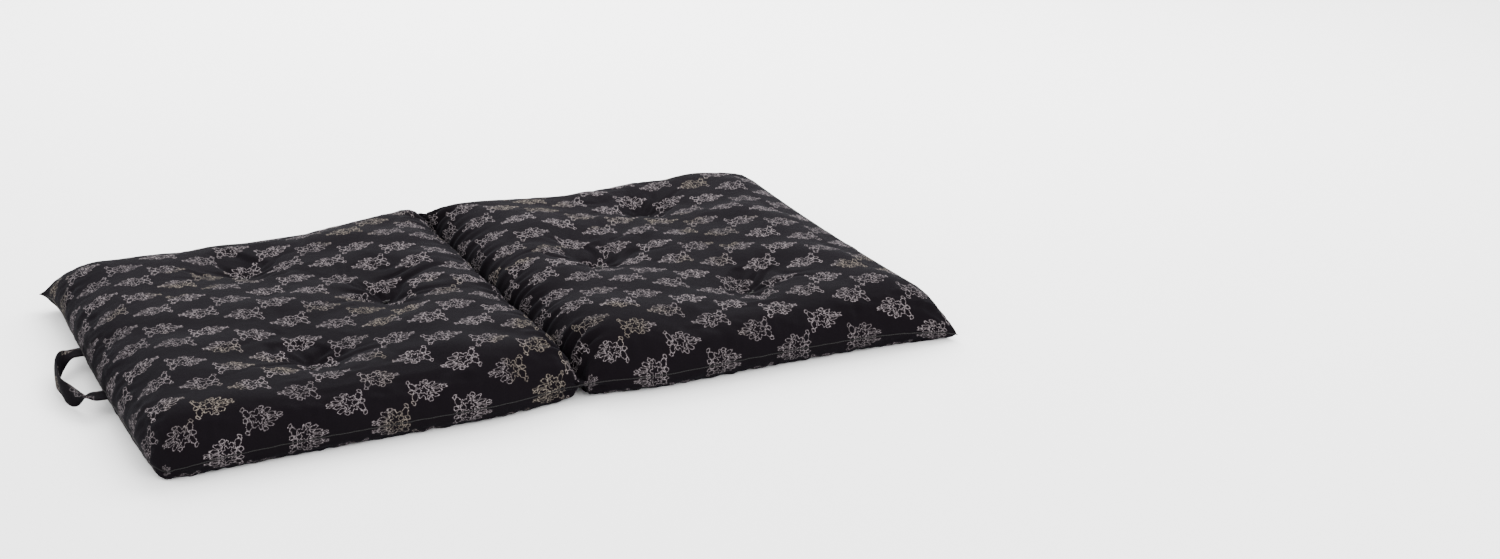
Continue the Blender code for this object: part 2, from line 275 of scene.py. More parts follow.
@dataclass(frozen=True)
class Sprig:
    """One printed sprig, drawn in rough outline on a square one column wide.

    The sprig lies along its column's width: its stem points to +1/2 and its widest
    leaves stand at -1/2. Both sides of the stem are the same, so the drawing uses the
    distance from the stem.
    """

    line: float = 0.0125

    def ring(self, graph: Graph, a: Wire, c: Wire, centre: tuple[float, float],
             radii: tuple[float, float], turn: float = 0.0) -> Wire:
        """The outline of an ellipse.

        Args:
            graph: the material's graph.
            a: place along the stem.
            c: distance from the stem.
            centre: the ellipse's middle.
            radii: its half lengths.
            turn: its turn about its middle, in degrees.

        Returns:
            1 on the line and 0 off it.
        """
        da, dc = a - centre[0], c - centre[1]
        if turn:
            cosine, sine = math.cos(math.radians(turn)), math.sin(math.radians(turn))
            da, dc = da * cosine + dc * sine, dc * cosine - da * sine
        first, second = da / radii[0], dc / radii[1]
        away = abs((first * first + second * second).maths("SQRT") - 1.0)
        reach = 0.6 * min(radii) + 0.4 * max(radii)
        return away.fade(self.line * 0.4 / reach, self.line * 1.2 / reach)

    def petals(self, a: Wire, b: Wire, centre: float, radius: float, tall: float, count: int,
               depth: float) -> Wire:
        """The outline of a flower's petals.

        Args:
            a: place along the stem.
            b: place across the stem, with its sign.
            centre: the flower's place along the stem.
            radius: its mean radius.
            tall: how much taller than wide it is.
            count: the number of petals.
            depth: how deep the notches between petals are, as a share of the radius.

        Returns:
            1 on the line and 0 off it.
        """
        da, db = a - centre, b / tall
        angle = db.maths("ARCTAN2", da)
        away = (da * da + db * db).maths("SQRT")
        edge = (angle * count).maths("COSINE") * (radius * depth) + radius
        return abs(away - edge).fade(self.line * 0.4, self.line * 1.2)

    def draw(self, graph: Graph, a: Wire, b: Wire) -> Wire:
        """The whole sprig.

        Args:
            graph: the material's graph.
            a: place along the stem, from -1/2 to 1/2.
            b: place across the stem.

        Returns:
            1 on a printed line and 0 off it.
        """
        c = abs(b)
        strokes = [
            self.petals(a, b, -0.09, 0.19, 1.55, 8, 0.20),
            self.petals(a, b, -0.09, 0.10, 1.45, 5, 0.28),
            self.ring(graph, a, c, (-0.36, 0.20), (0.075, 0.150), 14.0),
            self.ring(graph, a, c, (-0.43, 0.385), (0.045, 0.070), -20.0),
            self.ring(graph, a, c, (-0.42, 0.0), (0.060, 0.075)),
            self.ring(graph, a, c, (0.135, 0.215), (0.125, 0.060), 32.0),
            self.ring(graph, a, c, (0.235, 0.085), (0.115, 0.050), 8.0),
            self.ring(graph, a, c, (0.02, 0.345), (0.060, 0.055), 0.0),
            self.ring(graph, a, c, (0.425, 0.035), (0.070, 0.030), 10.0),
            c.fade(self.line * 0.3, self.line * 0.8) * abs(a - 0.29).fade(0.17, 0.19),
        ]
        ink = strokes[0]
        for stroke in strokes[1:]:
            ink = ink.maths("MAXIMUM", stroke)
        return ink


@dataclass(frozen=True)
class PrintedCotton:
    """Near-black cotton with rows of grey sprigs, which point left and right in turn."""

    name: str = "printed_cotton_looks"
    column: float = 0.050
    row: float = 0.0615
    squash: float = 1.32
    ground: tuple = (0.0030, 0.0022, 0.0030, 1.0)
    # painted light: a lighter ground colour that stands in for the lit patches of the cloth
    worn_ground: tuple = (0.0042, 0.0034, 0.0043, 1.0)
    grey_ink: tuple = (0.150, 0.130, 0.136, 1.0)
    warm_ink: tuple = (0.135, 0.116, 0.098, 1.0)
    weave: Weave = Weave()
    sprig: Sprig = Sprig()

    def material(self) -> bpy.types.Material:
        """The finished cloth.

        Returns:
            A material that reads the piece's UV map, laid out in metres of flat cloth.
        """
        graph = Graph(self.name)
        place = graph.node("ShaderNodeUVMap", {"uv_map": "cloth"})
        ink = self.ink(graph, place)
        along, across, _ = graph.parts(place)
        # Random large patches of lighter ground colour: painted light standing in for the lit areas of the
        # cloth.
        painted_light_patches = graph.noise(place, 9.0, 3.0)
        warmth = graph.noise(place, 6.5, 2.0).fade(0.38, 0.46)
        ground = graph.mix(painted_light_patches, self.ground, self.worn_ground)
        drawn = graph.mix(warmth, self.grey_ink, self.warm_ink)
        colour = graph.mix(ink, ground, drawn)
        threads = self.weave.relief(graph, along, across)
        crumple = graph.noise(place, 85.0, 3.0)
        relief = threads * 0.10 + crumple * 0.90
        roughness = 0.90 - ink * 0.08
        graph.set_constants(
            Specular_IOR_Level=0.012,
            Sheen_Weight=0.010,
            Sheen_Roughness=0.45,
            Sheen_Tint=(0.72, 0.82, 0.95, 1.0),
        )
        return graph.finish(colour, roughness, relief, 0.55, 0.0014)

    def ink(self, graph: Graph, place: Wire) -> Wire:
        """How much ink lies at a place on the flat cloth.

        Args:
            graph: the material's graph.
            place: the place on the flat cloth, in metres.

        Returns:
            The ink's cover, from 0 to 1.
        """
        along, across, _ = graph.parts(place)
        rough = graph.noise(place, 260.0, 2.0, output=1)
        rough_a, rough_b, _ = graph.parts(rough)
        columns = along / self.column
        rows = across / self.row
        column_index = columns.maths("FLOOR")
        odd_column = abs(column_index.maths("MODULO", 2.0))
        shifted = rows + odd_column * 0.5
        row_index = shifted.maths("FLOOR")
        turned = abs((row_index + column_index * 0.5).maths("FLOOR").maths("MODULO", 2.0))
        facing = 1.0 - turned * 2.0
        a = (columns - column_index - 0.5) * facing * 1.05 + (rough_a - 0.5) * 0.10
        b = (shifted - row_index - 0.5) * (self.squash * self.row / self.column)
        b = b + (rough_b - 0.5) * 0.13
        drawn = self.sprig.draw(graph, a, b)
        broken = graph.noise(place, 520.0, 2.0).fade(0.40, 0.56)
        cell = graph.together(column_index, row_index)
        strength = graph.node("ShaderNodeTexWhiteNoise", {"noise_dimensions": "2D"}, {0: cell})
        return drawn * (1.0 - broken * 0.62) * (strength * 0.35 + 0.65)


@dataclass(frozen=True)
class TwistedTwine:
    """Dark twine or thread whose strands catch a little light."""

    name: str = "dark_twine_looks"
    dark: tuple = (0.004, 0.004, 0.004, 1.0)
    light: tuple = (0.012, 0.011, 0.011, 1.0)
    strand: float = 1100.0

    def material(self) -> bpy.types.Material:
        """The finished twine, on object coordinates."""
        graph = Graph(self.name)
        place = graph.node("ShaderNodeTexCoord", {}, {}, output="Object")
        x, y, z = graph.parts(place)
        strands = ((x + y + z) * self.strand * 2.0).maths("SINE") * 0.5 + 0.5
        fuzz = graph.noise(place, 1500.0, 2.0)
        colour = graph.mix(strands * 0.5 + fuzz * 0.3, self.dark, self.light)
        roughness = 0.78 + fuzz * 0.15
        graph.set_constants(Sheen_Weight=0.05, Sheen_Roughness=0.5, Specular_IOR_Level=0.15)
        return graph.finish(colour, roughness, strands * 0.7 + fuzz * 0.3, 0.6, 0.0003)


@dataclass(frozen=True)
class SatinLabel:
    """Blank pale satin ribbon with fine ribs and random patches of duller colour."""

    name: str = "satin_label_looks"
    pale: tuple = (0.20, 0.20, 0.195, 1.0)
    dull: tuple = (0.14, 0.14, 0.135, 1.0)

    def material(self) -> bpy.types.Material:
        """The finished ribbon, on object coordinates."""
        graph = Graph(self.name)
        place = graph.node("ShaderNodeTexCoord", {}, {}, output="Object")
        _, y, _ = graph.parts(place)
        ribs = (y * (2.0 * math.pi / 0.0006)).maths("SINE") * 0.5 + 0.5
        marks = graph.noise(place, 160.0, 3.0)
        colour = graph.mix(marks, self.dull, self.pale)
        roughness = 0.40 + marks * 0.15
        graph.set_constants(Sheen_Weight=0.3, Sheen_Roughness=0.3)
        return graph.finish(colour, roughness, ribs * 0.6 + marks * 0.4, 0.4, 0.0002)


@dataclass(frozen=True)
class StudioPaper:
    """The plain pale floor."""

    name: str = "studio_paper"
    tint: tuple = (0.86, 0.86, 0.86, 1.0)

    def material(self) -> bpy.types.Material:
        """Matte paper with the faintest unevenness."""
        graph = Graph(self.name)
        place = graph.node("ShaderNodeTexCoord", {}, {}, output="Object")
        grain = graph.noise(place, 3.0, 2.0)
        colour = graph.mix(grain * 0.05, self.tint, (0.80, 0.80, 0.80, 1.0))
        return graph.finish(colour, 0.95, grain, 0.02, 0.001)


@dataclass
class Finishes:
    """Every finish, made once."""

    cotton: bpy.types.Material = field(default_factory=lambda: PrintedCotton().material())
    twine: bpy.types.Material = field(default_factory=lambda: TwistedTwine().material())
    ribbon: bpy.types.Material = field(default_factory=lambda: SatinLabel().material())


# ----------------------------------------------------------------------- measurements


def joint_place(name: str) -> Vector:
    """A point on a joint's axis.

    Args:
        name: the joint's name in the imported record.

    Returns:
        The point, in metres.
    """
    joints = frame["record"]["behaviour"]["joints"]
    return Vector(next(joint["pos_m"] for joint in joints if joint["name"] == name))


def box_middle(node: str) -> Vector:
    """The middle of a node's box."""
    low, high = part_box(node)
    return (Vector(low) + Vector(high)) / 2


@dataclass
class MattressPlan:
    """Sizes of the whole mattress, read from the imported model."""

    fold_x: float = field(default_factory=lambda: joint_place("fold").x)
    crown: float = field(default_factory=lambda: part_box("right_top_panel")[1][2])
    width: float = field(default_factory=lambda: 2.0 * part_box("right_top_panel")[1][1])
    end_x: float = field(default_factory=lambda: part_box("right_top_panel")[1][0])
    seam_height: float = field(default_factory=lambda: box_middle("fold_channel").z)
    channel_half: float = 0.004
    left_end_roll: float = 0.060
    right_end_roll: float = 0.100
    side_roll: float = 0.065
    underside_roll: float = 0.016
    left_fold_roll: float = 0.036
    right_fold_roll: float = 0.050
    left_end_pull: float = -0.004
    right_end_pull: float = 0.015
    side_pull: float = 0.006
    near_waist_pull: float = 0.019
    far_waist_pull: float = -0.008
    waist_reach: float = 0.070
    corner_droop: float = 0.6
    crown_inset: float = 0.0025
    fold_swell: float = 0.0085
    fold_seam_lift: float = 0.012
    far_seam_lift: float = 0.020
    tuft_lift: float = 0.012
    tuft_reach: float = 0.105
    tuft_sharpness: float = 1.8
    valley_half_width: float = 0.024
    valley_depths: tuple = (0.0035, 0.0065, 0.0025)
    underside_tuft_depth: float = 0.008
    underside_tuft_reach: float = 0.060

    @property
    def half_length(self) -> float:
        """From the fold to an outer end."""
        return self.end_x - self.fold_x

    def tufts(self) -> list[tuple[float, float, float]]:
        """Distance from the fold, place across and top height of each tuft of a half."""
        found = []
        for word in ("inner", "back", "front"):
            _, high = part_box(f"right_tuft_{word}_twine")
            middle = box_middle(f"right_tuft_{word}_twine")
            found.append((middle.x - self.fold_x, middle.y, high[2]))
        return found

    def rise(self, inwards: np.ndarray, roll: float) -> np.ndarray:
        """Share of the full height at a distance in from a seam, a quarter ellipse."""
        share = np.clip(inwards / roll, 0.0, 1.0)
        return np.sqrt(1.0 - (1.0 - share) ** 2)

    def fullness(self, u: np.ndarray, v: np.ndarray, side_roll: float,
                 end_roll: np.ndarray | float, fold_roll: np.ndarray | float) -> np.ndarray:
        """0 at the seams and at the fold, 1 where the cover is full.

        Args:
            u: distance from the fold.
            v: place across the mattress.
            side_roll: how far in from a side seam the cover is full.
            end_roll: how far in from an end seam it is full.
            fold_roll: how far from the fold it is full.

        Returns:
            The fullness at each place.
        """
        side = self.rise(self.width / 2 - np.abs(v), side_roll)
        end = self.rise(self.half_length - u, end_roll)
        fold = self.rise(u - self.channel_half, fold_roll)
        short = np.hypot(1.0 - side * end, 1.0 - fold)
        return np.clip(1.0 - short, 0.0, 1.0)

    def top_fullness(self, u: np.ndarray, v: np.ndarray, side: np.ndarray) -> np.ndarray:
        """Fullness of the top panel, which differs a little from half to half."""
        end_roll = np.where(side < 0.0, self.left_end_roll, self.right_end_roll)
        fold_roll = np.where(side < 0.0, self.left_fold_roll, self.right_fold_roll)
        return self.fullness(u, v, self.side_roll, end_roll, fold_roll)

    def under_fullness(self, u: np.ndarray, v: np.ndarray) -> np.ndarray:
        """Share of the way down to the floor that the underside has reached."""
        roll = self.underside_roll
        return self.fullness(u, v, roll, roll, roll)

    def seam_at(self, u: np.ndarray, v: np.ndarray) -> np.ndarray:
        """Height of the edge seam, which droops at the corners and lifts at the fold."""
        corner = (u / self.half_length) ** 8 * (2.0 * np.abs(v) / self.width) ** 8
        far_share = np.clip(0.5 + v / self.width, 0.0, 1.0)
        lift = self.fold_seam_lift * np.clip(far_share * 4.0, 0.1, 1.0)
        lift = (lift + self.far_seam_lift * far_share**6) * np.exp(-((u / 0.050) ** 2))
        return self.seam_height * (1.0 - self.corner_droop * corner) + lift

    def drawn_in(self, u: np.ndarray, v: np.ndarray, depth: float, reach: float) -> np.ndarray:
        """How far the tufts draw the cloth in."""
        pulled = np.zeros_like(u)
        for tuft_u, tuft_v, _ in self.tufts():
            away = np.hypot(u - tuft_u, v - tuft_v)
            near = np.clip(1.0 - away / reach, 0.0, 1.0)
            pulled = np.maximum(pulled, depth * near**self.tuft_sharpness)
        return pulled

    def valleys(self, u: np.ndarray, v: np.ndarray) -> np.ndarray:
        """Depth of the soft valleys that run from tuft to tuft."""
        tufts = self.tufts()
        pairs = ((tufts[0], tufts[1]), (tufts[0], tufts[2]), (tufts[1], tufts[2]))
        total = np.zeros_like(u)
        for (first, second), depth in zip(pairs, self.valley_depths):
            run_u, run_v = second[0] - first[0], second[1] - first[1]
            share = ((u - first[0]) * run_u + (v - first[1]) * run_v) / (run_u**2 + run_v**2)
            share = np.clip(share, 0.0, 1.0)
            away = np.hypot(u - first[0] - share * run_u, v - first[1] - share * run_v)
            total = np.maximum(total, depth * np.exp(-((away / self.valley_half_width) ** 2)))
        return total

    def height(self, u: np.ndarray, v: np.ndarray, side: np.ndarray, sheet: Sheet) -> np.ndarray:
        """Height of a panel before it is filled.

        Args:
            u: distance from the fold.
            v: place across the mattress.
            side: -1 on the left half and 1 on the right half.
            sheet: which panel.

        Returns:
            Heights above the floor.
        """
        seam = self.seam_at(u, v)
        if sheet is Sheet.UNDERSIDE:
            full = self.under_fullness(u, v)
            dip = self.drawn_in(u, v, self.underside_tuft_depth, self.underside_tuft_reach)
            return seam * (1.0 - full) + dip
        full = self.top_fullness(u, v, side)
        crown = self.crown - self.crown_inset
        depth = crown - self.tufts()[0][2] - self.tuft_lift
        crown = crown + self.fold_swell * np.exp(-(((u - 0.085) / 0.065) ** 2))
        pulled = np.maximum(self.drawn_in(u, v, depth, self.tuft_reach), self.valleys(u, v))
        return seam + (crown - seam) * full - pulled * full

    def plan_point(self, u: np.ndarray, v: np.ndarray,
                   side: np.ndarray) -> tuple[np.ndarray, np.ndarray]:
        """Distance from the fold and place across, with the sides drawn in.

        Args:
            u: distance from the fold on the even outline.
            v: place across it.
            side: -1 on the left half and 1 on the right half.

        Returns:
            Distance from the fold and place across the mattress.
        """
        far_share = np.clip(0.5 + v / 0.2, 0.0, 1.0)
        depth = self.near_waist_pull + (self.far_waist_pull - self.near_waist_pull) * far_share
        waist = depth * np.exp(-((u / self.waist_reach) ** 2))
        drawn = waist + self.side_pull * np.sin(math.pi * u / self.half_length)
        pull = np.where(side < 0.0, self.left_end_pull, self.right_end_pull)
        end = pull * (1.0 - (2.0 * v / self.width) ** 2)
        return u * (1.0 - end / self.half_length), v * (1.0 - 2.0 * drawn / self.width)


# ------------------------------------------------------------------------------ cover


@dataclass
class Ripples:
    """Gentle unevenness made of a fixed set of crossing waves."""

    seed: int
    shortest: float
    longest: float
    count: int = 26

    def at(self, x: np.ndarray, y: np.ndarray) -> np.ndarray:
        """Height of the unevenness, about -1 to 1.

        Args:
            x: first coordinate in metres.
            y: second coordinate in metres.

        Returns:
            The height at each place.
        """
        draw = np.random.default_rng(self.seed)
        total = np.zeros_like(x)
        for _ in range(self.count):
            wavelength = draw.uniform(self.shortest, self.longest)
            heading, phase = draw.uniform(0.0, 2.0 * math.pi, 2)
            along = x * math.cos(heading) + y * math.sin(heading)
            total += np.sin(2.0 * math.pi * along / wavelength + phase)
        return total / math.sqrt(self.count / 2.0) / 1.5


def coordinates(mesh: bpy.types.Mesh) -> np.ndarray:
    """The mesh's points as an array of rows."""
    flat = np.zeros(len(mesh.vertices) * 3)
    mesh.vertices.foreach_get("co", flat)
    return flat.reshape(-1, 3)


def vertex_normals(mesh: bpy.types.Mesh) -> np.ndarray:
    """The mesh's point normals as an array of rows."""
    flat = np.zeros(len(mesh.vertices) * 3)
    mesh.vertices.foreach_get("normal", flat)
    return flat.reshape(-1, 3)


def set_coordinates(mesh: bpy.types.Mesh, points: np.ndarray) -> None:
    """Moves the mesh's points."""
    mesh.vertices.foreach_set("co", points.astype(np.float32).ravel())
    mesh.update()


def attribute_rows(mesh: bpy.types.Mesh, name: str) -> np.ndarray:
    """A vector attribute as an array of rows."""
    flat = np.zeros(len(mesh.vertices) * 3)
    mesh.attributes[name].data.foreach_get("vector", flat)
    return flat.reshape(-1, 3)


def lay_uv(mesh: bpy.types.Mesh, flat_places: np.ndarray) -> None:
    """Writes each point's place on the flat cloth as the UV map that the print reads.

    Args:
        mesh: the cloth's mesh.
        flat_places: two columns, one row for each point, in metres.
    """
    corners = np.zeros(len(mesh.loops), dtype=np.int64)
    mesh.loops.foreach_get("vertex_index", corners)
    layer = mesh.uv_layers.new(name="cloth")
    layer.data.foreach_set("uv", flat_places[corners].astype(np.float32).ravel())


def show(name: str, mesh: bpy.types.Mesh, finish: bpy.types.Material) -> bpy.types.Object:
    """Puts a finished mesh in the scene, smooth and dressed.

    Args:
        name: the piece's name.
        mesh: its mesh, in place.
        finish: its material.

    Returns:
        The new object.
    """
    mesh.polygons.foreach_set("use_smooth", np.ones(len(mesh.polygons), dtype=bool))
    mesh.materials.clear()
    mesh.materials.append(finish)
    piece = bpy.data.objects.new(name, mesh)
    bpy.context.scene.collection.objects.link(piece)
    return piece


@dataclass
class Cover:
    """The cloth cover of both halves: two flat panels, sewn, tied down and filled."""

    plan: MattressPlan
    finishes: Finishes
    spacing: float = 0.0065
    slack: float = 1.05
    frames: int = 24
    pressure: float = 0.55
    pull: float = 12.0
    bending: float = 0.03
    lumpiness: float = 0.0025
    furthest: float = 0.009
    wadding_clearance: float = 0.0015
    creases: int = 10
    crease_depth: float = 0.0062
    blend_reach: float = 0.045
    settling: tuple = (
        ((-1.0, -1.0), 0.042, (0.018, 0.016, -0.002)),
        ((-1.0, 1.0), 0.080, (-0.008, 0.003, 0.007)),
        ((-1.0, 1.0), 0.028, (-0.007, 0.001, 0.003)),
        ((1.0, -1.0), 0.090, (0.002, -0.004, -0.004)),
        ((0.0, -1.0), 0.110, (0.008, 0.0, 0.0)),
    )

    def __post_init__(self) -> None:
        """Works out the flat panels' half sizes from the filled shape's outline."""
        plan = self.plan
        height = plan.crown - plan.seam_height
        self.u_steps = np.linspace(0.0, plan.half_length, 4000)
        self.v_steps = np.linspace(0.0, plan.width / 2, 4000)
        end = plan.rise(plan.half_length - self.u_steps, plan.side_roll)
        fold = plan.rise(self.u_steps - plan.channel_half, plan.right_fold_roll)
        side = plan.rise(plan.width / 2 - self.v_steps, plan.side_roll)
        self.u_lengths = self.lengths(self.u_steps, height * end * fold)
        self.v_lengths = self.lengths(self.v_steps, height * side)
        self.flat_half_length = self.u_lengths[-1] * self.slack
        self.flat_half_width = self.v_lengths[-1] * self.slack

    @staticmethod
    def lengths(steps: np.ndarray, heights: np.ndarray) -> np.ndarray:
        """Length along a curve up to each of its steps."""
        pieces = np.hypot(np.diff(steps), np.diff(heights))
        return np.concatenate([[0.0], np.cumsum(pieces)])

    def folded_place(self, flat: np.ndarray) -> tuple[np.ndarray, np.ndarray]:
        """Where a place on the flat cloth lies on the filled mattress.

        Args:
            flat: places on the flat cloth.

        Returns:
            Distance from the fold, and place across the mattress.
        """
        u = np.interp(np.abs(flat[:, 0]) / self.slack, self.u_lengths, self.u_steps)
        v = np.interp(np.abs(flat[:, 1]) / self.slack, self.v_lengths, self.v_steps)
        return u, v * np.sign(flat[:, 1])

    def sewn_mesh(self) -> bpy.types.Mesh:
        """Two panels of even squares, joined round their edge.

        Returns:
            The mesh, with each point's flat place and panel as attributes.
        """
        columns = 2 * round(self.flat_half_length / self.spacing)
        rows = 2 * round(self.flat_half_width / self.spacing)
        shape = bmesh.new()
        flat_layer = shape.verts.layers.float_vector.new("flat")
        for sheet in Sheet:
            made = bmesh.ops.create_grid(shape, x_segments=columns, y_segments=rows, size=1.0)
            for vert in made["verts"]:
                flat = (vert.co.x * self.flat_half_length, vert.co.y * self.flat_half_width)
                vert[flat_layer] = (*flat, float(sheet.value))
        middle = len(shape.faces) // 2
        shape.faces.ensure_lookup_table()
        bmesh.ops.reverse_faces(shape, faces=shape.faces[middle:])
        rim = [vert for vert in shape.verts if vert.is_boundary]
        bmesh.ops.remove_doubles(shape, verts=rim, dist=self.spacing / 1000)
        mesh = bpy.data.meshes.new("sewn_cover")
        shape.to_mesh(mesh)
        shape.free()
        return mesh

    def filled_places(self, flat: np.ndarray) -> np.ndarray:
        """Places of the cloth before the simulation.

        Args:
            flat: flat place and panel of each point.

        Returns:
            Points in the frame's coordinates.
        """
        plan = self.plan
        u, v = self.folded_place(flat)
        side = np.where(flat[:, 0] < 0.0, -1.0, 1.0)
        x, y = plan.plan_point(u, v, side)
        over = plan.height(u, v, side, Sheet.TOP)
        under = plan.height(u, v, side, Sheet.UNDERSIDE)
        z = np.where(flat[:, 2] > 0.5, under, over)
        return np.stack([plan.fold_x + side * x, y, z], axis=1)

    def held_points(self, flat: np.ndarray) -> np.ndarray:
        """Which points the stitches, ties and floor hold still.

        Args:
            flat: flat place and panel of each point.

        Returns:
            True where a point is held.
        """
        plan = self.plan
        u, v = self.folded_place(flat)
        held = u <= plan.channel_half + 0.001
        underside = flat[:, 2] > 0.5
        for tuft_u, tuft_v, _ in plan.tufts():
            away = np.hypot(u - tuft_u, v - tuft_v)
            for side in Side:
                for panel in (underside, ~underside):
                    own = np.where(panel & (np.sign(flat[:, 0]) == side.value), away, 1.0)
                    held[np.argmin(own)] = True
        return held | (underside & (plan.under_fullness(u, v) > 0.98))

    def fill(self, mesh: bpy.types.Mesh) -> bpy.types.Mesh:
        """Fills the sewn cover by cloth simulation.

        Args:
            mesh: the sewn mesh at its starting places.

        Returns:
            The filled mesh.
        """
        flat = attribute_rows(mesh, "flat")
        start = coordinates(mesh)
        bag = bpy.data.objects.new("filling_bag", mesh)
        scene = bpy.context.scene
        scene.collection.objects.link(bag)
        bag.shape_key_add(name="Basis")
        cut = bag.shape_key_add(name="cut")
        bumps = Ripples(11, 0.09, 0.30)
        cut_places = flat.copy()
        cut_places[:, 0] += self.lumpiness * bumps.at(flat[:, 1] * 1.3, flat[:, 0])
        cut_places[:, 1] += self.lumpiness * bumps.at(flat[:, 0], flat[:, 1])
        cut_places[:, 2] *= -0.002
        cut.data.foreach_set("co", cut_places.astype(np.float32).ravel())
        group = bag.vertex_groups.new(name="held")
        held = self.held_points(flat)
        group.add([int(i) for i in np.nonzero(held)[0]], 1.0, "REPLACE")
        modifier = bag.modifiers.new("Cloth", "CLOTH")
        cloth = modifier.settings
        cloth.quality = 4
        cloth.mass = 0.3
        cloth.tension_stiffness = self.pull
        cloth.compression_stiffness = self.pull
        cloth.shear_stiffness = self.pull * 0.4
        cloth.bending_stiffness = self.bending
        cloth.tension_damping = 5.0
        cloth.compression_damping = 5.0
        cloth.shear_damping = 5.0
        cloth.bending_damping = 0.5
        cloth.air_damping = 1.0
        cloth.vertex_group_mass = "held"
        cloth.rest_shape_key = cut
        cloth.use_pressure = True
        cloth.uniform_pressure_force = self.pressure
        cloth.effector_weights.gravity = 0.0
        modifier.collision_settings.use_collision = False
        modifier.point_cache.frame_start = 1
        modifier.point_cache.frame_end = self.frames
        scene.frame_start = 1
        scene.frame_end = self.frames
        for number in range(1, self.frames + 1):
            scene.frame_set(number)
        evaluated = bag.evaluated_get(bpy.context.evaluated_depsgraph_get())
        filled = bpy.data.meshes.new_from_object(evaluated)
        bpy.data.objects.remove(bag)
        scene.frame_set(1)
        moved = coordinates(filled) - start
        length = np.linalg.norm(moved, axis=1, keepdims=True)
        eased = self.furthest * np.tanh(length / self.furthest)
        set_coordinates(filled, start + moved * (eased / np.maximum(length, 1e-9)))
        return filled

    def subdivided(self, mesh: bpy.types.Mesh) -> bpy.types.Mesh:
        """The mesh with every square split in four and eased.

        Args:
            mesh: the mesh to split.

        Returns:
            A new mesh.
        """
        carrier = bpy.data.objects.new("cover_carrier", mesh)
        bpy.context.scene.collection.objects.link(carrier)
        finer = carrier.modifiers.new("finer", "SUBSURF")
        finer.levels = 1
        finer.render_levels = 1
        evaluated = carrier.evaluated_get(bpy.context.evaluated_depsgraph_get())
        result = bpy.data.meshes.new_from_object(evaluated)
        bpy.data.objects.remove(carrier)
        return result

    def tuft_creases(self, away: np.ndarray, angle: np.ndarray, seed: int) -> np.ndarray:
        """Depth of the creases that run out of one tuft.

        Args:
            away: distance from the tuft.
            angle: direction from it, in radians.
            seed: which tuft it is.

        Returns:
            The depth at each place.
        """
        draw = np.random.default_rng(100 + seed)
        first = draw.uniform(0.0, 2.0 * math.pi)
        total = np.zeros_like(away)
        for step in range(self.creases):
            heading = first + (step + draw.uniform(-0.25, 0.25)) * 2.0 * math.pi / self.creases
            length = draw.uniform(0.030, 0.085)
            depth = draw.uniform(0.6, 1.0) * self.crease_depth
            turned = (angle - heading + math.pi) % (2.0 * math.pi) - math.pi
            width = 0.0028 + 0.07 * away
            line = np.exp(-((turned * away / width) ** 2)) * (np.abs(turned) < 1.2)
            reach = (1.0 - np.exp(-away / 0.006)) * np.exp(-((away / length) ** 2))
            total += depth * line * reach
        return total

    def crease(self, mesh: bpy.types.Mesh) -> None:
        """Adds what is finer than the simulated cloth: tuft creases and seam puckers."""
        plan = self.plan
        points, normals = coordinates(mesh), vertex_normals(mesh)
        flat = attribute_rows(mesh, "flat")
        u, v = self.folded_place(flat)
        side = np.where(flat[:, 0] < 0.0, -1.0, 1.0)
        shift = np.zeros(len(points))
        over = flat[:, 2] < 0.5
        for index, (tuft_u, tuft_v, _) in enumerate(plan.tufts()):
            for way in Side:
                du, dv = u - tuft_u, v - tuft_v
                away = np.hypot(du, dv)
                angle = np.arctan2(dv, du * way.value)
                own = (side == way.value) & over
                seed = index * 2 + (way is Side.LEFT)
                bend = Ripples(40 + seed, 0.05, 0.12).at(du, dv) * 0.35
                shift -= np.where(own, self.tuft_creases(away, angle + bend, seed), 0.0)
        edge = np.minimum(plan.width / 2 - np.abs(v), plan.half_length - u)
        pucker = Ripples(23, 0.012, 0.035).at(flat[:, 0], flat[:, 1])
        shift += 0.0008 * pucker * np.exp(-((edge - 0.012) / 0.016) ** 2)
        gather = Ripples(29, 0.012, 0.030).at(flat[:, 1] * 0.35, flat[:, 1])
        ends = 1.0 + 0.8 * np.clip((np.abs(v) / (plan.width / 2) - 0.6) / 0.4, 0.0, 1.0)
        shift += 0.0020 * ends * gather * np.exp(-((u - 0.016) / 0.020) ** 2)
        lump = Ripples(31, 0.07, 0.22).at(flat[:, 0] + 3.0 * flat[:, 2], flat[:, 1])
        calm = plan.top_fullness(u, v, side)
        shift += np.where(over, 0.0022 * lump * calm, 0.0)
        moved = self.settled(points + normals * shift[:, None], flat)
        moved[:, 2] = np.maximum(moved[:, 2], 0.0)
        set_coordinates(mesh, self.over_wadding(moved, over))

    def settled(self, points: np.ndarray, flat: np.ndarray) -> np.ndarray:
        """The points after the corners and the fold's near end have settled by the listed offsets.

        Args:
            points: places on the filled cover.
            flat: their flat places.

        Returns:
            The moved places.
        """
        half = np.array([self.flat_half_length, self.flat_half_width])
        moved = points.copy()
        for mark, reach, shift in self.settling:
            away = np.hypot(*(flat[:, :2] - np.array(mark) * half).T)
            moved += np.exp(-((away / reach) ** 2))[:, None] * np.array(shift)
        return moved

    def over_wadding(self, points: np.ndarray, over: np.ndarray) -> np.ndarray:
        """Lifts the top panel clear of the wadding under it.

        Args:
            points: places on the cover.
            over: which of them lie on the top panel.

        Returns:
            The places, clear of the wadding.
        """
        graph = bpy.context.evaluated_depsgraph_get()
        for side in Side:
            layer = frame["nodes"][f"{side.word}_filling_upper"]
            place = layer.matrix_world
            back = place.inverted()
            tree = BVHTree.FromObject(layer, graph)
            down = (back.to_3x3() @ Vector((0.0, 0.0, -1.0))).normalized()
            mine = over & (np.sign(points[:, 0] - self.plan.fold_x) == side.value)
            for index in np.nonzero(mine)[0]:
                x, y, z = points[index]
                hit = tree.ray_cast(back @ Vector((x, y, 0.5)), down)[0]
                if hit is not None:
                    points[index, 2] = max(z, (place @ hit).z + self.wadding_clearance)
        return points

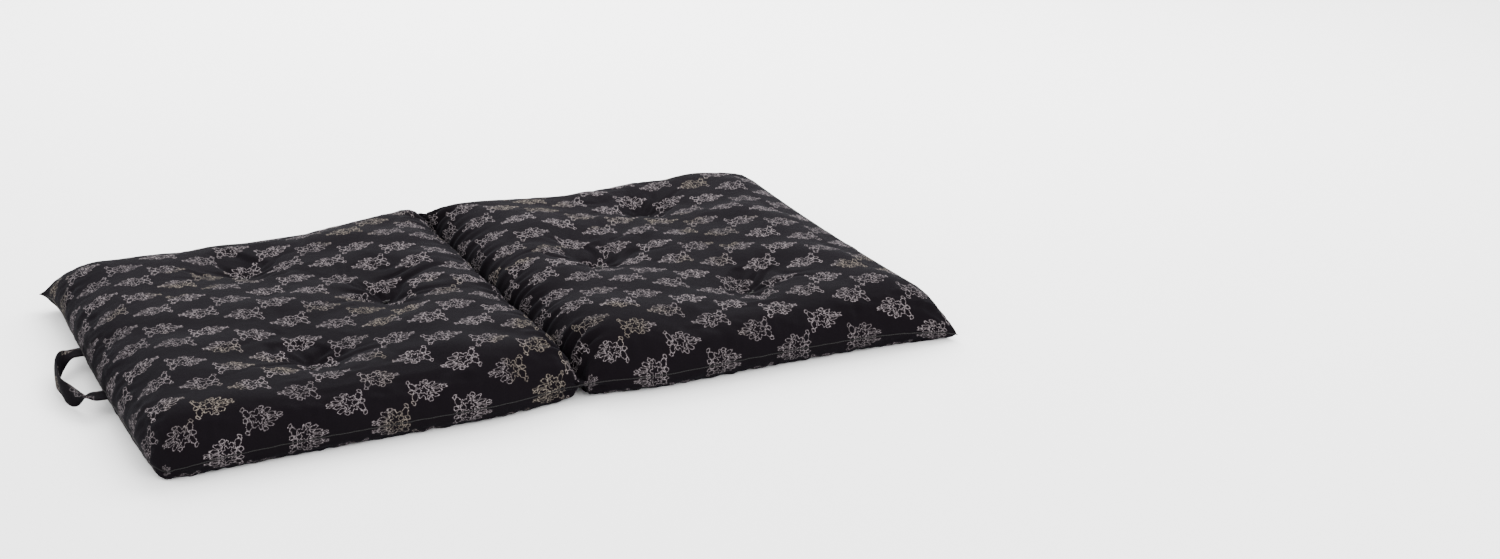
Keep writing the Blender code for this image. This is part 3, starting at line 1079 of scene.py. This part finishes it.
    def build(self) -> bpy.types.Object:
        """Makes the finished cover.

        Returns:
            The cover.
        """
        mesh = self.sewn_mesh()
        set_coordinates(mesh, self.filled_places(attribute_rows(mesh, "flat")))
        mesh = self.fill(mesh)
        mesh = self.subdivided(mesh)
        self.crease(mesh)
        lay_uv(mesh, attribute_rows(mesh, "flat")[:, :2])
        cover = show("cover", mesh, self.finishes.cotton)
        self.tree = BVHTree.FromObject(cover, bpy.context.evaluated_depsgraph_get())
        kept_inside = ("top_panel", "bottom_panel", "filling_lower", "filling_middle", "filling_upper")
        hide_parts(*[f"{side.word}_{name}" for side in Side for name in kept_inside])
        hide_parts("fold_channel")
        self.blend(cover)
        return cover

    def blend(self, piece: bpy.types.Object) -> None:
        """Bakes a piece's placement into its mesh."""
        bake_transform(piece)

    def surface(self, x: float, y: float, sheet: Sheet) -> tuple[Vector, Vector]:
        """The cover's point straight over or under a place.

        Args:
            x: place along the mattress.
            y: place across it.
            sheet: which panel is asked for.

        Returns:
            The point and the outward normal there.
        """
        down = sheet is Sheet.TOP
        start = Vector((x, y, 1.0 if down else -1.0))
        heading = Vector((0.0, 0.0, -1.0 if down else 1.0))
        point, normal, _, _ = self.tree.ray_cast(start, heading)
        return point, normal


# ----------------------------------------------------------------- sewn and tied pieces


def tube_mesh(runs: list[list[Vector]], radius: float, sides: int, closed: bool = False) -> bpy.types.Mesh:
    """Threads along runs of points, as one mesh.

    Args:
        runs: the points of each thread.
        radius: the thread's radius.
        sides: how many flat sides it has.
        closed: whether each run ends where it starts.

    Returns:
        The mesh.
    """
    shape = bmesh.new()
    for points in runs:
        rings = []
        count = len(points)
        for index, point in enumerate(points):
            if closed:
                before, after = points[index - 1], points[(index + 1) % count]
            else:
                before, after = points[max(index - 1, 0)], points[min(index + 1, count - 1)]
            turn = (after - before).to_track_quat("Z", "Y").to_matrix().to_4x4()
            turn.translation = point
            made = bmesh.ops.create_circle(shape, segments=sides, radius=radius, matrix=turn)
            rings.append(list({edge for vert in made["verts"] for edge in vert.link_edges}))
        pairs = list(zip(rings, rings[1:]))
        if closed:
            pairs.append((rings[-1], rings[0]))
        for first, second in pairs:
            bmesh.ops.bridge_loops(shape, edges=first + second)
        if not closed:
            for ring in (rings[0], rings[-1]):
                bmesh.ops.contextual_create(shape, geom=ring)
    bmesh.ops.recalc_face_normals(shape, faces=shape.faces[:])
    mesh = bpy.data.meshes.new("thread")
    shape.to_mesh(mesh)
    shape.free()
    return mesh


@dataclass
class EdgeSeam:
    """The sewn edge between the panels: a thin ridge all round the cover."""

    cover: Cover
    finishes: Finishes
    radius: float = 0.0006
    sides: int = 6

    def rim_points(self, mesh: bpy.types.Mesh) -> list[Vector]:
        """The cover's rim in order, read from its flat places.

        Args:
            mesh: the finished cover's mesh.

        Returns:
            The points round the seam.
        """
        flat = attribute_rows(mesh, "flat")
        half = np.array([self.cover.flat_half_length, self.cover.flat_half_width])
        share = np.abs(flat[:, :2]) / half
        rim = np.nonzero(share.max(axis=1) > 0.9999)[0]
        order = np.argsort(np.arctan2(flat[rim, 1] / half[1], flat[rim, 0] / half[0]))
        points = coordinates(mesh)[rim[order]]
        return [Vector(point) for point in points[::2]]

    def build(self, cover: bpy.types.Object) -> bpy.types.Object:
        """Lays the ridge along the finished cover's rim.

        Args:
            cover: the finished cover.

        Returns:
            The ridge.
        """
        mesh = tube_mesh([self.rim_points(cover.data)], self.radius, self.sides, closed=True)
        seam = show("edge_seam", mesh, self.finishes.twine)
        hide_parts(*[f"{side.word}_edge_seam_thread" for side in Side])
        self.cover.blend(seam)
        return seam


@dataclass
class FoldStitching:
    """Two rows of running stitches through the fold, seen on both faces."""

    cover: Cover
    finishes: Finishes
    row_offset: float = 0.0026
    stitch: float = 0.0045
    gap: float = 0.0030
    end_margin: float = 0.010
    radius: float = 0.0005
    bow: float = 0.0004

    def build(self) -> bpy.types.Object:
        """Sews both rows.

        Returns:
            One piece that holds every stitch.
        """
        plan = self.cover.plan
        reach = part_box("fold_channel")[1][1] - self.end_margin
        steps = int(2 * reach / (self.stitch + self.gap))
        runs = []
        for sheet, outward in ((Sheet.TOP, 1.0), (Sheet.UNDERSIDE, -1.0)):
            for side in Side:
                x = plan.fold_x + side.value * self.row_offset
                for step in range(steps):
                    y = -reach + step * (self.stitch + self.gap)
                    runs.append(self.stitch_run(x, y, sheet, outward))
        mesh = tube_mesh(runs, self.radius, 5)
        stitches = show("fold_stitching", mesh, self.finishes.twine)
        rows = [f"fold_stitching_{side.word}_{face}" for side in Side for face in ("top", "underside")]
        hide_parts(*rows)
        self.cover.blend(stitches)
        return stitches

    def stitch_run(self, x: float, y: float, sheet: Sheet, outward: float) -> list[Vector]:
        """One stitch, bowed up a little off the cloth.

        Args:
            x: the row's place along the mattress.
            y: where the stitch starts across it.
            sheet: the panel it lies on.
            outward: 1 for up, -1 for down.

        Returns:
            Three points.
        """
        points = []
        for share, lift in ((0.0, 0.0), (0.5, 1.0), (1.0, 0.0)):
            place = y + share * self.stitch
            point, _ = self.cover.surface(x, place, sheet)
            points.append(Vector((x, place, point.z + outward * (self.bow * lift + 0.0002))))
        return points


@dataclass
class TuftTie:
    """The tie of one tuft: crossed twine drawn down into the cloth, with a small knot."""

    cover: Cover
    finishes: Finishes
    side: Side
    place: str
    reach: float = 0.0055
    radius: float = 0.0008
    knot_radius: float = 0.0022

    def build(self) -> list[bpy.types.Object]:
        """Ties the top and the underside.

        Returns:
            The two ties.
        """
        middle = box_middle(f"{self.side.word}_tuft_{self.place}_twine")
        made = []
        for sheet, outward, word in ((Sheet.TOP, 1.0, "top"), (Sheet.UNDERSIDE, -1.0, "bottom")):
            runs = []
            for angle in (0.5, 2.2):
                along = Vector((math.cos(angle), math.sin(angle), 0.0)) * self.reach
                runs.append([
                    self.on_cloth(middle + along * share, sheet, outward)
                    for share in (-1.0, -0.5, 0.0, 0.5, 1.0)
                ])
            name = f"{self.side.word}_tuft_{self.place}_{word}_tie"
            mesh = tube_mesh(runs, self.radius, 6)
            self.add_knot(mesh, self.on_cloth(middle, sheet, outward), outward)
            tie = show(name, mesh, self.finishes.twine)
            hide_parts(f"{self.side.word}_tuft_{self.place}_{word}_knot")
            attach(tie, f"{self.side.word}_half")
            made.append(tie)
        return made

    def on_cloth(self, place: Vector, sheet: Sheet, outward: float) -> Vector:
        """The point just off the cloth at a place."""
        point, _ = self.cover.surface(place.x, place.y, sheet)
        return Vector((place.x, place.y, point.z + outward * self.radius * 0.6))

    def add_knot(self, mesh: bpy.types.Mesh, place: Vector, outward: float) -> None:
        """Adds the knot at the crossing.

        Args:
            mesh: the tie's mesh.
            place: the crossing's place.
            outward: 1 for up, -1 for down.
        """
        shape = bmesh.new()
        shape.from_mesh(mesh)
        knot = bmesh.ops.create_icosphere(shape, subdivisions=2, radius=self.knot_radius)
        bmesh.ops.scale(shape, verts=knot["verts"], vec=(1.0, 1.0, 0.6))
        lift = Vector((0.0, 0.0, outward * self.knot_radius * 0.3))
        bmesh.ops.translate(shape, verts=knot["verts"], vec=place + lift)
        shape.to_mesh(mesh)
        shape.free()


@dataclass
class HandleStrap:
    """A carrying strap of folded printed cotton, with its bar tacks."""

    plan: MattressPlan
    finishes: Finishes
    side: Side
    squareness: float = 0.7
    twist_share: float = 0.30
    flat_share: float = 0.05
    strap_width: float = 0.026
    tuck: float = 0.012
    tuck_share: float = 0.02
    cupping: float = 0.0008
    thickness: float = 0.0020
    left_root_shift: float = -0.011
    right_root_shift: float = 0.003
    left_narrowing: float = 0.014
    left_off_middle: float = 0.007
    along_steps: int = 72
    across_steps: int = 8
    wave: float = 0.0012

    def __post_init__(self) -> None:
        """Reads the strap's size and place from its node."""
        low, high = (Vector(corner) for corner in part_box(f"{self.side.word}_handle_strap"))
        tacks = [box_middle(f"{self.side.word}_handle_tack_{end}").y for end in ("front", "back")]
        self.span = tacks[1] - tacks[0]
        self.middle_y = 0.0
        if self.side is Side.LEFT:
            self.span -= self.left_narrowing
            self.middle_y = self.left_off_middle
        self.root_x = joint_place(f"{self.side.word}_handle_swing").x
        outermost = low.x if self.side is Side.LEFT else high.x
        self.reach = abs(outermost - self.root_x) - self.thickness / 2
        self.root_x += self.left_root_shift if self.side is Side.LEFT else self.right_root_shift
        self.low_z = low.z

    def centre(self, share: float) -> tuple[Vector, float]:
        """The strap's middle line.

        Args:
            share: how far along the strap, from 0 to 1.

        Returns:
            The point, and how far the strap has turned on its edge, from 0 to 1.
        """
        across = self.middle_y + self.span / 2 * math.cos(math.pi * share)
        out = self.reach * math.sin(math.pi * share) ** self.squareness
        from_end = (min(share, 1.0 - share) - self.flat_share) / (self.twist_share - self.flat_share)
        turned = min(max(from_end, 0.0), 1.0)
        eased = turned * turned * (3.0 - 2.0 * turned)
        standing = self.low_z + self.strap_width / 2
        height = self.plan.seam_height + (standing - self.plan.seam_height) * eased
        return Vector((self.root_x + self.side.value * out, across, height)), eased

    def build(self) -> bpy.types.Object:
        """Makes the strap and sews it down.

        Returns:
            The strap, which turns about the seam it is sewn into.
        """
        shape = bmesh.new()
        bmesh.ops.create_grid(
            shape, x_segments=self.along_steps, y_segments=self.across_steps, size=1.0
        )
        places = {}
        for vert in shape.verts:
            share, edge = (vert.co.x + 1.0) / 2.0, vert.co.y
            point, eased = self.centre(share)
            angle = eased * math.pi / 2
            flat_sign = 1.0 if share < 0.5 else -1.0
            ripple = self.wave * math.sin(share * 23.0 + edge * 1.5) * eased
            offset = Vector((
                self.side.value * (ripple - self.cupping * edge * edge),
                flat_sign * math.cos(angle) * edge * self.strap_width / 2,
                math.sin(angle) * edge * self.strap_width / 2,
            ))
            tucked = max(0.0, 1.0 - min(share, 1.0 - share) / self.tuck_share) * self.tuck
            point = point + offset - Vector((self.side.value * tucked, 0.0, 0.0))
            places[vert.index] = (share, edge)
            vert.co = point
        shape.verts.index_update()
        bmesh.ops.recalc_face_normals(shape, faces=shape.faces[:])
        mesh = bpy.data.meshes.new("strap")
        shape.to_mesh(mesh)
        shape.free()
        length = math.pi / 2 * math.hypot(self.span / 2, self.reach) * 1.1
        flat = np.array([
            (places[i][0] * length, places[i][1] * self.strap_width / 2)
            for i in range(len(mesh.vertices))
        ])
        lay_uv(mesh, flat + (0.013 if self.side is Side.LEFT else 0.057))
        strap = show(f"{self.side.word}_handle", mesh, self.finishes.cotton)
        wall = strap.modifiers.new("folded_cloth", "SOLIDIFY")
        wall.thickness = self.thickness
        wall.offset = 0.0
        soft = strap.modifiers.new("soft_edges", "BEVEL")
        soft.width = self.thickness * 0.3
        soft.segments = 2
        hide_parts(f"{self.side.word}_handle_strap")
        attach(strap, f"{self.side.word}_handle")
        return strap


@dataclass
class CareLabel:
    """The blank care label, a short ribbon folded double into the end seam."""

    finishes: Finishes
    ribbon: float = 0.0004
    loop: float = 0.0009
    root_reach: float = 0.010
    segments: int = 6

    def build(self) -> bpy.types.Object:
        """Folds the ribbon.

        Returns:
            The label.
        """
        low, high = (Vector(corner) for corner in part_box("care_label"))
        middle = (low + high) / 2
        loop, root_x = self.loop, low.x - self.root_reach
        profile = [Vector((root_x, 0.0, -loop * 0.6))]
        bend = [
            Vector((high.x - loop + loop * math.cos(angle), 0.0, loop * math.sin(angle)))
            for angle in np.linspace(-math.pi / 2, math.pi / 2, self.segments)
        ]
        profile += bend + [Vector((root_x, 0.0, loop * 0.6))]
        shape = bmesh.new()
        verts = [shape.verts.new((p.x, low.y, middle.z + p.z)) for p in profile]
        edges = [shape.edges.new(pair) for pair in zip(verts, verts[1:])]
        made = bmesh.ops.extrude_edge_only(shape, edges=edges)["geom"]
        far = [item for item in made if isinstance(item, bmesh.types.BMVert)]
        bmesh.ops.translate(shape, verts=far, vec=(0.0, high.y - low.y, 0.0))
        bmesh.ops.recalc_face_normals(shape, faces=shape.faces[:])
        mesh = bpy.data.meshes.new("label")
        shape.to_mesh(mesh)
        shape.free()
        label = show("care_label_ribbon", mesh, self.finishes.ribbon)
        wall = label.modifiers.new("ribbon", "SOLIDIFY")
        wall.thickness = self.ribbon
        wall.offset = 0.0
        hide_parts("care_label")
        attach(label, "right_half")
        return label


@dataclass
class CarriedNodes:
    """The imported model's own pieces that stay: the tufts' twine and the bar tacks."""

    finishes: Finishes
    words: tuple = ("twine", "tack")

    def dress(self) -> int:
        """Gives each its finish.

        Returns:
            How many pieces were dressed.
        """
        dressed = 0
        for name, piece in frame["nodes"].items():
            if any(word in name for word in self.words) and not piece.hide_render:
                for slot in piece.material_slots:
                    slot.material = self.finishes.twine
                dressed += 1
        return dressed


# ------------------------------------------------------------------------------ studio


@dataclass
class Studio:
    """The pale floor, the soft lights and the camera."""

    plan: MattressPlan
    azimuth: float = 25.74
    elevation: float = 20.5
    distance: float = 3.10
    focal_length: float = 55.97
    target: tuple = (0.351, -0.0174, 0.008)
    room_brightness: float = 2.8
    floor_size: float = 8.0
    floor_gap: float = 0.0005

    def add_camera(self) -> None:
        """Looks along the mattress from beside its near left corner."""
        az, el = math.radians(self.azimuth), math.radians(self.elevation)
        heading = Vector((math.sin(az) * math.cos(el), math.cos(az) * math.cos(el), -math.sin(el)))
        data = bpy.data.cameras.new("camera")
        data.lens = self.focal_length
        data.sensor_width = 36.0
        data.clip_end = 50.0
        camera = bpy.data.objects.new("camera", data)
        target = Vector(self.target) + Vector((self.plan.fold_x, 0.0, 0.0))
        camera.location = target - heading * self.distance
        camera.rotation_euler = heading.to_track_quat("-Z", "Y").to_euler()
        bpy.context.scene.collection.objects.link(camera)
        bpy.context.scene.camera = camera

    def add_light(self, name: str, place: tuple, size: float, power: float) -> None:
        """Adds a soft square light that faces the mattress.

        Args:
            name: the light's name.
            place: where it hangs, in metres.
            size: its side.
            power: its power in watts.
        """
        data = bpy.data.lights.new(name, "AREA")
        data.size = size
        data.energy = power
        light = bpy.data.objects.new(name, data)
        light.location = place
        aim = Vector((0.0, 0.0, 0.0)) - Vector(place)
        light.rotation_euler = aim.to_track_quat("-Z", "Y").to_euler()
        bpy.context.scene.collection.objects.link(light)

    def add_floor(self) -> None:
        """Lays the floor."""
        shape = bmesh.new()
        bmesh.ops.create_grid(shape, x_segments=1, y_segments=1, size=self.floor_size)
        bmesh.ops.translate(shape, verts=shape.verts[:], vec=(0.0, 0.0, -self.floor_gap))
        mesh = bpy.data.meshes.new("studio_floor")
        shape.to_mesh(mesh)
        shape.free()
        show("studio_floor", mesh, StudioPaper().material())

    def add_world(self) -> None:
        """Surrounds everything with even white light."""
        world = bpy.data.worlds.new("white_room")
        world.use_nodes = True
        background = world.node_tree.nodes["Background"]
        background.inputs["Color"].default_value = (1.0, 1.0, 1.0, 1.0)
        background.inputs["Strength"].default_value = self.room_brightness
        bpy.context.scene.world = world

    def build(self) -> None:
        """Sets up the studio."""
        self.add_floor()
        self.add_world()
        self.add_light("back_light", (0.5, 2.2, 1.9), 1.6, 150.0)
        self.add_light("key_light", (1.7, 0.7, 1.9), 1.4, 82.0)
        self.add_light("front_light", (0.4, -2.2, 1.1), 1.6, 34.0)
        self.add_camera()


def main() -> None:
    """Builds the mattress, then the studio, and reports each piece."""
    plan = MattressPlan()
    finishes = Finishes()
    cover = Cover(plan, finishes)
    cloth = cover.build()
    LOG.info("cover: %d faces", len(cloth.data.polygons))
    seam = EdgeSeam(cover, finishes).build(cloth)
    LOG.info("edge seam: %d faces", len(seam.data.polygons))
    stitches = FoldStitching(cover, finishes).build()
    LOG.info("fold stitching: %d faces", len(stitches.data.polygons))
    for side in Side:
        for place in ("inner", "back", "front"):
            ties = TuftTie(cover, finishes, side, place).build()
            LOG.info("%s %s tuft: %d ties", side.word, place, len(ties))
        strap = HandleStrap(plan, finishes, side)
        LOG.info("%s: reach %.0f mm", strap.build().name, 1000 * strap.reach)
    label = CareLabel(finishes).build()
    LOG.info("%s", label.name)
    LOG.info("carried nodes dressed: %d", CarriedNodes(finishes).dress())
    Studio(plan).build()


if __name__ == "__main__":
    logging.basicConfig(level=logging.INFO)
    main()
